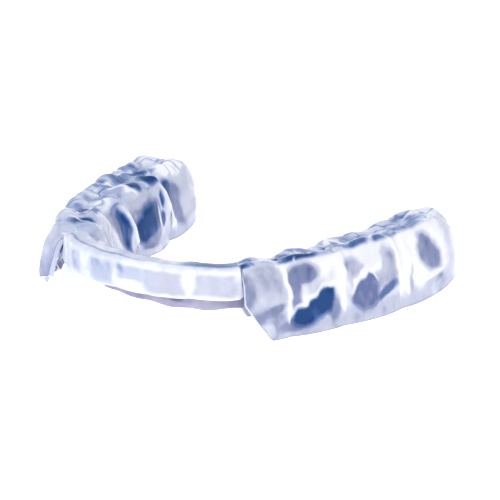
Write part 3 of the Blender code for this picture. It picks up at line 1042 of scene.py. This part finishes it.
# Each finish: its ramps, how much its tone is mottled, its roughness range and its coat.
PERIWINKLE = (BLUE_TONES, LILAC_TONES)
SHADED_STRIP = (SHADED_STRIP_TONES, SHADED_STRIP_TONES)
shell_finish = clear_plastic("shell_plastic", PERIWINKLE, 0.05, (0.03, 0.16), 0.18)
pad_finish = clear_plastic("pad_plastic", PERIWINKLE, 0.08, (0.15, 0.35), 0.0)
liner_finish = clear_plastic("liner_plastic", PERIWINKLE, 0.08, (0.15, 0.35), 0.0)
band_finish = clear_plastic("band_plastic", PERIWINKLE, 0.05, (0.04, 0.16), 0.18)
strip_finish = clear_plastic("strip_plastic", SHADED_STRIP, 0.08, (0.06, 0.20), 0.3)


# ---- the pods

SHELL_ROWS = 230
SHELL_END_ROWS = 30
SHELL_COLUMNS = 150
INNER_RELIEF = 0.5
RIM_FADE = 0.15
# The hood's inside, darkened with painted shade: how far from its end it is fully shaded,
# and that tone.
INSIDE_SHADE_FADE = 2.0
INSIDE_SHADE_TONE = 0.6
PAD_ROWS = 200
PAD_COLUMNS = 56
LINER_ROWS = 130
LINER_END_ROWS = 20
LINER_COLUMNS = 64
# (tone, clearness, lilac) of each layer's edge.
SHELL_EDGE = (RIM_TONE, 0.12, 0.3)
PAD_EDGE = (0.05, 0.1, 0.3)
LINER_RIM = (0.3, 0.2, 0.3)
LAYER_CLEARNESS = 0.15
PAD_TONE_SHARE = 0.7
LINER_TONE_SHARE = 1.05
# Places along the arch and shares of the wall's height that the pad's cheek edge runs through.
PAD_EDGE_PLACES = (20.0, 22.5, 24.0, 25.0, 30.2, 32.0, 33.4, 35.6, 38.5, 41.5, 44.0, 47.0, 51.0, 55.0)
PAD_EDGE_LEVELS = (0.42, 0.38, 0.34, 0.31, 0.60, 0.62, 0.66, 0.62, 0.40, 0.34, 0.46, 0.34, 0.32, 0.36)
# The same edge on the tongue side, and the small waves on both: height, turn, start.
PAD_TONGUE_LEVEL = 0.40
PAD_TONGUE_WAVE = (0.08, 0.9, 0.0)
PAD_WAVES = ((0.018, 2.6, 0.0), (0.012, 4.3, 1.0))
PAD_EDGE_SQUASH = 0.86
PAD_EDGE_RANGE = (0.1, 0.75)
PAD_BACK = 0.55


def even_angles(first, last, count, rows):
    """The same row of angles, repeated for every row of a grid."""
    return np.linspace(first, last, count)[None, :] + np.zeros((rows, 1))


def sheet_values(tone, clearness, lilac, inside_tone, edge):
    """Each value on the outer grid, on the inner grid and on the edge between them."""
    return {
        "tone": (tone, inside_tone, edge[0]),
        "clearness": (clearness, clearness, edge[1]),
        "lilac": (lilac, lilac, edge[2]),
    }


def layer_values(side, s, angles, outer, share, edge):
    """Values of a pad or liner, which has a share of the tone of the shell over it."""
    tone, _, lilac = pod_tones(s, angles, outer, side)
    tone = np.clip(tone * share, 0, 1)
    return sheet_values(tone, np.full_like(tone, LAYER_CLEARNESS), lilac, tone, edge)


def pod_object(name, side, body, finish):
    points, faces, values = body
    made = make_object(name, points * (side, 1.0, 1.0), faces, values, finish)
    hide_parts(name.replace("_clear", ""))


def outer_shell(name, side):
    front = SHELL_FRONTS[side]
    shares = row_shares(POD_BACKS[side] - front, SHELL_ROWS, SHELL_END_ROWS)
    angles = even_angles(0, np.pi, SHELL_COLUMNS, len(shares))
    plain, s = pod_skin(side, shares, angles, front, 0.0, 0.0)
    stand = pod_relief(side, s, angles, plain)
    at_rim = smooth(np.minimum(angles, np.pi - angles), 0.0, RIM_FADE)
    outer = plain + skin_normals(plain, s) * (stand * at_rim)[..., None]
    inner, s_inner = pod_skin(side, shares, angles, front, SHELL_WALL, SHELL_WALL)
    swell = INNER_RELIEF * np.maximum(stand, 0.0) * at_rim
    inner = inner + skin_normals(inner, s_inner) * swell[..., None]
    tone, clearness, lilac = pod_tones(s, angles, plain, side)
    # Painted shade on the inner face of the hood.
    hooded = smooth(s_inner, POD_FRONT, POD_FRONT - INSIDE_SHADE_FADE)
    inside_tone = np.maximum(tone, INSIDE_SHADE_TONE * hooded)
    values = sheet_values(tone, clearness, lilac, inside_tone, SHELL_EDGE)
    pod_object(name, side, lipped_body(outer, inner, values, True), shell_finish)


def pad_edge_angle(level):
    return np.arcsin(np.clip(level * PAD_EDGE_SQUASH, *PAD_EDGE_RANGE))


def bite_pad(name, side):
    length = POD_BACKS[side] - END_RADIUS * PAD_BACK - LAYER_FRONT
    s = LAYER_FRONT + np.linspace(0, 1, PAD_ROWS) * length
    waves = wave(s, *PAD_WAVES[0]) + wave(s, *PAD_WAVES[1])
    first = pad_edge_angle(np.interp(s, PAD_EDGE_PLACES, PAD_EDGE_LEVELS) + waves)
    last = np.pi - pad_edge_angle(PAD_TONGUE_LEVEL + wave(s, *PAD_TONGUE_WAVE) + waves)
    across_share = np.linspace(0, 1, PAD_COLUMNS)[None, :]
    angles = first[:, None] + (last - first)[:, None] * across_share
    s_grid = np.maximum(s[:, None] + 0.0 * angles, front_edge(angles, LAYER_FRONT))
    depth = SHELL_WALL + GAP
    skins = []
    for wall, roof in ((depth, depth), (depth + PAD_WALL, depth + PAD_ROOF)):
        across, z = pod_point(side, s_grid, angles, wall, roof)
        skins.append(on_arch(s_grid, across, z))
    outer, inner = skins
    values = layer_values(side, s_grid, angles, outer, PAD_TONE_SHARE, PAD_EDGE)
    pod_object(name, side, lipped_body(outer, inner, values, False), pad_finish)


def liner(name, side):
    shares = row_shares(POD_BACKS[side] - LAYER_FRONT, LINER_ROWS, LINER_END_ROWS)
    angles = even_angles(LINER_EDGE, np.pi - LINER_EDGE, LINER_COLUMNS, len(shares))
    depth = SHELL_WALL + GAP
    wall = depth + (PAD_WALL + GAP) * covered(angles)
    roof = depth + PAD_ROOF + GAP
    outer, s = pod_skin(side, shares, angles, LAYER_FRONT, wall, roof)
    inner, _ = pod_skin(side, shares, angles, LAYER_FRONT, wall + LINER_WALL, roof + LINER_WALL)
    values = layer_values(side, s, angles, outer, LINER_TONE_SHARE, LINER_RIM)
    pod_object(name, side, lipped_body(outer, inner, values, True), liner_finish)


# ---- band and strip


# A corner's arc takes at most this share of each side that meets there.
LONGEST_ARC = 0.49


def rounded_outline(corners, radii, steps):
    """Points round a polygon whose corners are arcs, given as (across, z) and a radius."""
    points = []
    count = len(corners)
    for k in range(count):
        corner = np.array(corners[k], float)
        before = np.array(corners[k - 1], float) - corner
        after = np.array(corners[(k + 1) % count], float) - corner
        before_length = np.linalg.norm(before)
        after_length = np.linalg.norm(after)
        reach = min(radii[k], LONGEST_ARC * before_length, LONGEST_ARC * after_length)
        first = corner + before / before_length * reach
        last = corner + after / after_length * reach
        for step in range(steps + 1):
            t = step / steps
            points.append((1 - t) ** 2 * first + 2 * t * (1 - t) * corner + t * t * last)
    return np.array(points)


def refined(outline, count):
    """The same closed outline with this many evenly spaced points."""
    closed = np.vstack([outline, outline[:1]])
    steps = np.linalg.norm(np.diff(closed, axis=0), axis=1)
    along = np.concatenate([[0.0], np.cumsum(steps)])
    places = np.linspace(0, along[-1], count, endpoint=False)
    return np.stack([np.interp(places, along, closed[:, k]) for k in (0, 1)], axis=1)


BAND_RING = 72
BAND_ROWS = 340
BAND_RADII = (0.5, 0.8, 0.5, 0.5, 0.6, 0.5)
BAND_ARC_STEPS = 5
LEDGE_WAVE = (0.10, 0.9, 0.6)
TONGUE_RADIUS = 0.2
THIN_ARC_STEPS = 4


def band_outline(s):
    """The section of the band at this place, as (across, z) points."""
    towards = float(smooth(abs(s), TOOTH_ENDS[2], POD_FRONT))
    front = mix(BAND_FRONT, BAND_END_FRONT, towards)
    front += BAND_FACET * (float(tooth_crown(np.array([s]))[0]) - 1)
    low = BAND_TOP - BAND_HEIGHT
    back = front - BAND_LEDGE + wave(s, *LEDGE_WAVE)
    corners = (
        (front, low),
        (front, BAND_TOP),
        (back, BAND_TOP),
        (back, BAND_TOP - BAND_WALL),
        (front - BAND_WALL, BAND_TOP - BAND_WALL),
        (front - BAND_WALL, low),
    )
    return refined(rounded_outline(corners, BAND_RADII, BAND_ARC_STEPS), BAND_RING)


def tongue_outline(side, s):
    """The thin end of the band inside a shell's cheek wall."""
    depth = SHELL_WALL + GAP
    corners = []
    for wall, angle in (
        (depth, TONGUE_LOW),
        (depth, TONGUE_HIGH),
        (depth + TONGUE_WALL, TONGUE_HIGH),
        (depth + TONGUE_WALL, TONGUE_LOW),
    ):
        across, z = pod_point(side, np.array([abs(s)]), np.array([angle]), wall, depth)
        corners.append((float(across[0]), float(z[0])))
    return refined(rounded_outline(corners, (TONGUE_RADIUS,) * 4, THIN_ARC_STEPS), BAND_RING)


# Facets of the band, one for each front tooth that it crosses: start and end along the
# arch, tone.
BAND_FACETS = (
    (-9.4, -6.9, 0.38),
    (-4.9, -0.6, 0.36),
    (0.5, 4.7, 0.34),
    (4.9, 10.6, 0.28),
    (11.4, 17.2, 0.26),
)
# Touches on the band's front: place along the arch, share of the height, reaches, tone.
BAND_TOUCHES = (
    (-3.6, 0.66, 1.2, 0.16, 0.46),
    (-8.4, 0.46, 0.5, 0.26, 0.44),
    (1.4, 0.70, 1.2, 0.12, 0.44),
    (3.4, 0.60, 1.6, 0.20, 0.36),
    (2.4, 0.22, 2.4, 0.16, 0.04),
    (6.4, 0.74, 1.8, 0.06, 0.30),
    (10.9, 0.66, 1.0, 0.26, 0.02),
    (-11.6, 0.50, 1.0, 0.50, 0.20),
)
# The band's frames: their tone on the left and on the right, and where it changes.
BAND_FRAME_TONES = (0.20, 0.09)
BAND_FRAME_RANGE = (-3.0, 6.0)
# The facets' low and high share of the band's height, and how soft those edges are.
FACET_LEVELS = (0.14, 0.82, 0.10)
FACET_END_SOFT = 0.55
FACET_SINK = 0.14
BAND_LEVEL_SHIFT = 0.05
BAND_ALONG_SHIFT = 0.25
BAND_MOTTLE_TONE = 0.06
BAND_SWELL_HEIGHT = 0.05
BAND_LIFT_HEIGHT = 0.06
# Distances behind the band's front and below its top over which the front face ends, the
# ledge starts and the underside starts.
FACE_BEHIND = (0.5, 0.7)
FACE_BELOW = (0.7, 0.3)
LEDGE_BEHIND = (0.9, 1.4)
LEDGE_BELOW = (0.30, 0.10)
UNDER_BEHIND = (0.7, 1.1)
UNDER_BELOW = 0.2
UNDER_TONE = 0.34
# The ledge: its tone, its mottling and how much deeper it is towards the right pod.
LEDGE_TONE = 0.25
LEDGE_MOTTLE_TONE = 0.12
LEDGE_RIGHT_TONE = 0.30
LEDGE_RIGHT = (8.0, 13.5)
# A dark line along the ledge's front on the left: middle and reach behind the front, where
# it comes in below the band's top, and where it comes in towards the left.
LEDGE_LINE = (1.15, 0.26)
LEDGE_LINE_BELOW = (0.4, 0.2)
LEDGE_LINE_RANGE = (-7.0, 0.0)
LEDGE_LINE_TONE = 0.70
LEDGE_LINE_SHARE = 0.8
# A blue streak on the ledge by the right pod: along the arch, and behind the front.
STREAK_ALONG = (13.6, 3.4, 4)
STREAK_BEHIND = (1.7, 0.8)
BLUE_STREAK_TONE = 0.82
BLUE_STREAK_SHARE = 0.95
LAP_TONE = 0.55
LAP_START = 0.4
BAND_CLEARNESS = 0.08
FACET_CLEARNESS = 0.12
LEDGE_CLEARNESS = 0.04
BAND_LILAC = 0.1
RIGHT_LILAC = 0.6
RIGHT_LILAC_RANGE = (4.0, 8.0)
# How far before a shell the band starts to narrow to its tongue, and where it has.
END_SHIFT = (0.30, 0.05)


def band_end_share(s):
    """0 on the band itself and 1 on the tongue at each end of it."""
    left = smooth(-s, *(HOOD_FRONT - shift for shift in END_SHIFT))
    right = smooth(s, *(POD_FRONT - shift for shift in END_SHIFT))
    return float(left + right)


def band_section(s):
    """The band's outline, which turns into a tongue inside the shell at each end."""
    share = band_end_share(s)
    if share == 0:
        return band_outline(s)
    side = LEFT if s < 0 else RIGHT
    tongue = tongue_outline(side, max(abs(s), SHELL_FRONTS[side]))
    return mix(band_outline(s), tongue, share)


def ring_grid(first, last, rows, section):
    """Grids of s, across and z for rings that have section(s) as their outlines."""
    rings = []
    for s in np.linspace(first, last, rows):
        rings.append([(s, across, z) for across, z in section(s)])
    return np.moveaxis(np.array(rings), -1, 0)


def ring_object(name, s, across, z, values, finish):
    """A closed body through a grid of rings, each end closed by a fan."""
    points = on_arch(s, across, z)
    rows, ring = s.shape
    centres = points[[0, -1]].mean(axis=1)
    index = np.arange(rows * ring).reshape(rows, ring)
    index = np.concatenate([index, index[:, :1]], axis=1)
    faces = [grid_faces(index)]
    for row, centre in ((index[-1], rows * ring + 1), (index[0, ::-1], rows * ring)):
        hub = np.full(ring, centre)
        faces.append(np.stack([row[:-1], row[1:], hub, hub], axis=1))
    ended = {}
    for key, value in values.items():
        flat = np.clip(value, 0, 1).ravel()
        ended[key] = np.append(flat, [flat[0], flat[-1]])
    points = np.concatenate([points.reshape(-1, 3), centres])
    return make_object(name, points, np.concatenate(faces), ended, finish)


def below_top(z, far, near):
    """0 this far below the band's top and 1 this near to it."""
    return smooth(z, BAND_TOP - far, BAND_TOP - near)


def band_looks(s, z, behind, plain):
    """(values, facet, facing): the band's tones, where its facets are and its front face."""
    height = (z - (BAND_TOP - BAND_HEIGHT)) / BAND_HEIGHT
    height = height + BAND_LEVEL_SHIFT * cloud(plain, *BAND_LEVEL_WARP)
    s_warped = s + BAND_ALONG_SHIFT * cloud(plain, *BAND_ALONG_WARP)
    facing = (1 - smooth(behind, *FACE_BEHIND)) * (1 - below_top(z, *FACE_BELOW))
    tone = mix(*BAND_FRAME_TONES, smooth(s, *BAND_FRAME_RANGE))
    facet = np.zeros_like(s)
    for first, last, facet_tone in BAND_FACETS:
        box = box_mask(s_warped, first, last, FACET_END_SOFT) * box_mask(height, *FACET_LEVELS)
        box = box * facing
        tone = mix(tone, facet_tone, box)
        facet = np.maximum(facet, box)
    for place, high, along, tall, touch_tone in BAND_TOUCHES:
        reach = patch_weight((s_warped - place) / along, (height - high) / tall, BAND_PATCH_SOFT)
        tone = mix(tone, touch_tone, reach * facing)
    ledge = below_top(z, *LEDGE_BELOW) * smooth(behind, *LEDGE_BEHIND)
    ledge_tone = LEDGE_TONE + LEDGE_MOTTLE_TONE * cloud(plain, *LEDGE_MOTTLE)
    tone = mix(tone, ledge_tone + LEDGE_RIGHT_TONE * smooth(s, *LEDGE_RIGHT), ledge)
    line = bell(behind, *LEDGE_LINE) * below_top(z, *LEDGE_LINE_BELOW)
    line = line * smooth(-s, *LEDGE_LINE_RANGE)
    tone = mix(tone, LEDGE_LINE_TONE, LEDGE_LINE_SHARE * line)
    streak = bell(s, *STREAK_ALONG) * bell(behind, *STREAK_BEHIND)
    streak = streak * below_top(z, *LEDGE_LINE_BELOW)
    tone = mix(tone, BLUE_STREAK_TONE, BLUE_STREAK_SHARE * streak)
    under = 1 - below_top(z, BAND_WALL + UNDER_BELOW, BAND_WALL)
    tone = mix(tone, UNDER_TONE, smooth(behind, *UNDER_BEHIND) * under)
    left_lap = smooth(-s, HOOD_FRONT - LAP_START, HOOD_FRONT)
    right_lap = smooth(s, POD_FRONT - LAP_START, POD_FRONT)
    tone = tone + BAND_MOTTLE_TONE * cloud(plain, *BAND_MOTTLE)
    values = {
        "tone": mix(tone, LAP_TONE, np.maximum(left_lap, right_lap)),
        "clearness": BAND_CLEARNESS + FACET_CLEARNESS * facet + LEDGE_CLEARNESS * ledge,
        "lilac": BAND_LILAC + RIGHT_LILAC * smooth(s, *RIGHT_LILAC_RANGE) * facing,
    }
    return values, facet, facing


def front_band():
    first = -(HOOD_FRONT + LAP_LENGTH)
    s, across, z = ring_grid(first, POD_FRONT + LAP_LENGTH, BAND_ROWS, band_section)
    plain = on_arch(s, across, z)
    behind = across.max(axis=1, keepdims=True) - across
    values, facet, facing = band_looks(s, z, behind, plain)
    across = across - FACET_SINK * facet
    across = across + BAND_SWELL_HEIGHT * cloud(plain, *FRONT_SWELL) * facing
    z = z + BAND_LIFT_HEIGHT * cloud(plain, *BAND_LIFT)
    made = ring_object("front_band_clear", s, across, z, values, band_finish)
    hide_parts("front_band")


STRIP_RING = 40
STRIP_ROWS = 220
STRIP_RADIUS = 0.4
STRIP_WAVE = (0.12, 0.8, 0.0)
STRIP_TONE = 0.56
STRIP_MOTTLE_TONE = 0.18
STRIP_CLEARNESS = 0.2
STRIP_SWELL_HEIGHT = 0.05
# Painted shade over the strip's upper part: middle and reach along the arch, and the heights
# between which it comes in.
STRIP_SHADE_ALONG = (7.6, 2.4)
STRIP_SHADE_HEIGHTS = (2.9, 3.5)
STRIP_SHADE_TONE = 0.90
STRIP_SHADE_SHARE = 0.85


def strip_section(s):
    """The section of the strip at this place, as (across, z) points."""
    behind = mix(STRIP_BEHIND, STRIP_END_BEHIND, float(smooth(abs(s) / POD_FRONT)))
    near = -behind + STRIP_WALL / 2
    far = -behind - STRIP_WALL / 2
    low = STRIP_LOW + wave(s, *STRIP_WAVE)
    corners = ((near, low), (near, STRIP_HIGH), (far, STRIP_HIGH), (far, low))
    return refined(rounded_outline(corners, (STRIP_RADIUS,) * 4, THIN_ARC_STEPS), STRIP_RING)


def lingual_strip():
    end = POD_FRONT + LAP_LENGTH
    s, across, z = ring_grid(-end, end, STRIP_ROWS, strip_section)
    plain = on_arch(s, across, z)
    tone = STRIP_TONE + STRIP_MOTTLE_TONE * cloud(plain, *STRIP_MOTTLE)
    # Painted shade darkens the strip above the lower of these heights.
    strip_shade = bell(s, *STRIP_SHADE_ALONG) * smooth(z, *STRIP_SHADE_HEIGHTS)
    tone = mix(tone, STRIP_SHADE_TONE, STRIP_SHADE_SHARE * strip_shade)
    values = {
        "tone": tone,
        "clearness": np.full_like(tone, STRIP_CLEARNESS),
        "lilac": np.ones_like(tone),
    }
    across = across + STRIP_SWELL_HEIGHT * cloud(plain, *FRONT_SWELL)
    made = ring_object("lingual_strip_clear", s, across, z, values, strip_finish)
    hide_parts("lingual_strip")


# ---- putting it together


# The grid that the shell's back end is measured on.
MEASURED_ROWS = 60
MEASURED_END_ROWS = 20
MEASURED_COLUMNS = 61


def arch_shift():
    """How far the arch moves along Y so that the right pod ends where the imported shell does."""
    shares = row_shares(POD_BACKS[RIGHT] - POD_FRONT, MEASURED_ROWS, MEASURED_END_ROWS)
    angles = even_angles(0, np.pi, MEASURED_COLUMNS, len(shares))
    furthest = pod_skin(RIGHT, shares, angles, POD_FRONT, 0.0, 0.0)[0][..., 1].max()
    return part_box("right_outer_shell")[1][1] / MM - furthest


ARCH_SHIFT = arch_shift()


def placed(points):
    return points + np.array([0.0, ARCH_SHIFT, 0.0])


for side_name, side in (("left", LEFT), ("right", RIGHT)):
    outer_shell(side_name + "_outer_shell_clear", side)
    bite_pad(side_name + "_bite_pad_clear", side)
    liner(side_name + "_liner_clear", side)
front_band()
lingual_strip()


# ---- stage, lights, camera


WHITE = (1.0, 1.0, 1.0, 1.0)
FLOOR_REACH = 6.0
FLOOR_DROP = 0.2 * MM
FLOOR_COLOUR = (0.97, 0.97, 0.97, 1.0)
FLOOR_GLOW = 0.75
WORLD_STRENGTH = 1.0
# Lights, aimed at the origin: name, place, width and height in metres, power in watts.
LIGHTS = (
    ("key", (-0.20, -0.15, 0.40), (0.16, 0.16), 0.36),
    ("side", (0.30, -0.35, 0.18), (0.05, 0.20), 0.11),
)


def floor():
    mesh = bpy.data.meshes.new("floor")
    corners = [(-1, -1, 0), (1, -1, 0), (1, 1, 0), (-1, 1, 0)]
    mesh.from_pydata(np.array(corners) * FLOOR_REACH, [], [(0, 1, 2, 3)])
    made = bpy.data.objects.new("floor", mesh)
    made.location.z = -FLOOR_DROP
    bpy.context.scene.collection.objects.link(made)
    finish, _, shader = new_material("floor_white")
    shader.inputs["Base Color"].default_value = FLOOR_COLOUR
    shader.inputs["Roughness"].default_value = 1.0
    shader.inputs["Specular IOR Level"].default_value = 0.0
    shader.inputs["Emission Color"].default_value = WHITE
    shader.inputs["Emission Strength"].default_value = FLOOR_GLOW
    mesh.materials.append(finish)


def area_light(name, place, size, power):
    data = bpy.data.lights.new(name, "AREA")
    data.shape = "RECTANGLE"
    data.size, data.size_y = size
    data.energy = power
    made = bpy.data.objects.new(name, data)
    made.location = place
    made.rotation_euler = (-Vector(place)).to_track_quat("-Z", "Y").to_euler()
    made.visible_camera = False
    bpy.context.scene.collection.objects.link(made)


def world():
    made = bpy.data.worlds.new("studio")
    made.use_nodes = True
    back = made.node_tree.nodes["Background"]
    back.inputs["Color"].default_value = WHITE
    back.inputs["Strength"].default_value = WORLD_STRENGTH
    bpy.context.scene.world = made


# The camera: its direction, distance in metres and lens in mm, and what it looks at.
AZIMUTH = math.radians(37.84)
ELEVATION = math.radians(19.35)
DISTANCE = 0.400
LENS = 186.7
SENSOR_WIDTH = 36.0
CLIP_START = 0.01
CLIP_END = 50.0
TARGET = Vector((0.0, 18.0 * MM, 5.0 * MM))
AIM_RIGHT = 7.56 * MM
AIM_UP = 1.11 * MM


def camera():
    data = bpy.data.cameras.new("camera")
    data.lens = LENS
    data.sensor_width = SENSOR_WIDTH
    data.clip_start = CLIP_START
    data.clip_end = CLIP_END
    made = bpy.data.objects.new("camera", data)
    forward = Vector((-math.sin(AZIMUTH) * math.cos(ELEVATION),
                      math.cos(AZIMUTH) * math.cos(ELEVATION), -math.sin(ELEVATION)))
    right = Vector((math.cos(AZIMUTH), math.sin(AZIMUTH), 0.0))
    up = right.cross(forward)
    target = TARGET + Vector((0.0, ARCH_SHIFT * MM, 0.0))
    aim = target + right * AIM_RIGHT + up * AIM_UP
    made.location = aim - forward * DISTANCE
    made.rotation_euler = forward.to_track_quat("-Z", "Y").to_euler()
    bpy.context.scene.collection.objects.link(made)
    bpy.context.scene.camera = made


floor()
world()
camera()
for light in LIGHTS:
    area_light(*light)
bpy.context.scene.view_settings.view_transform = "Standard"
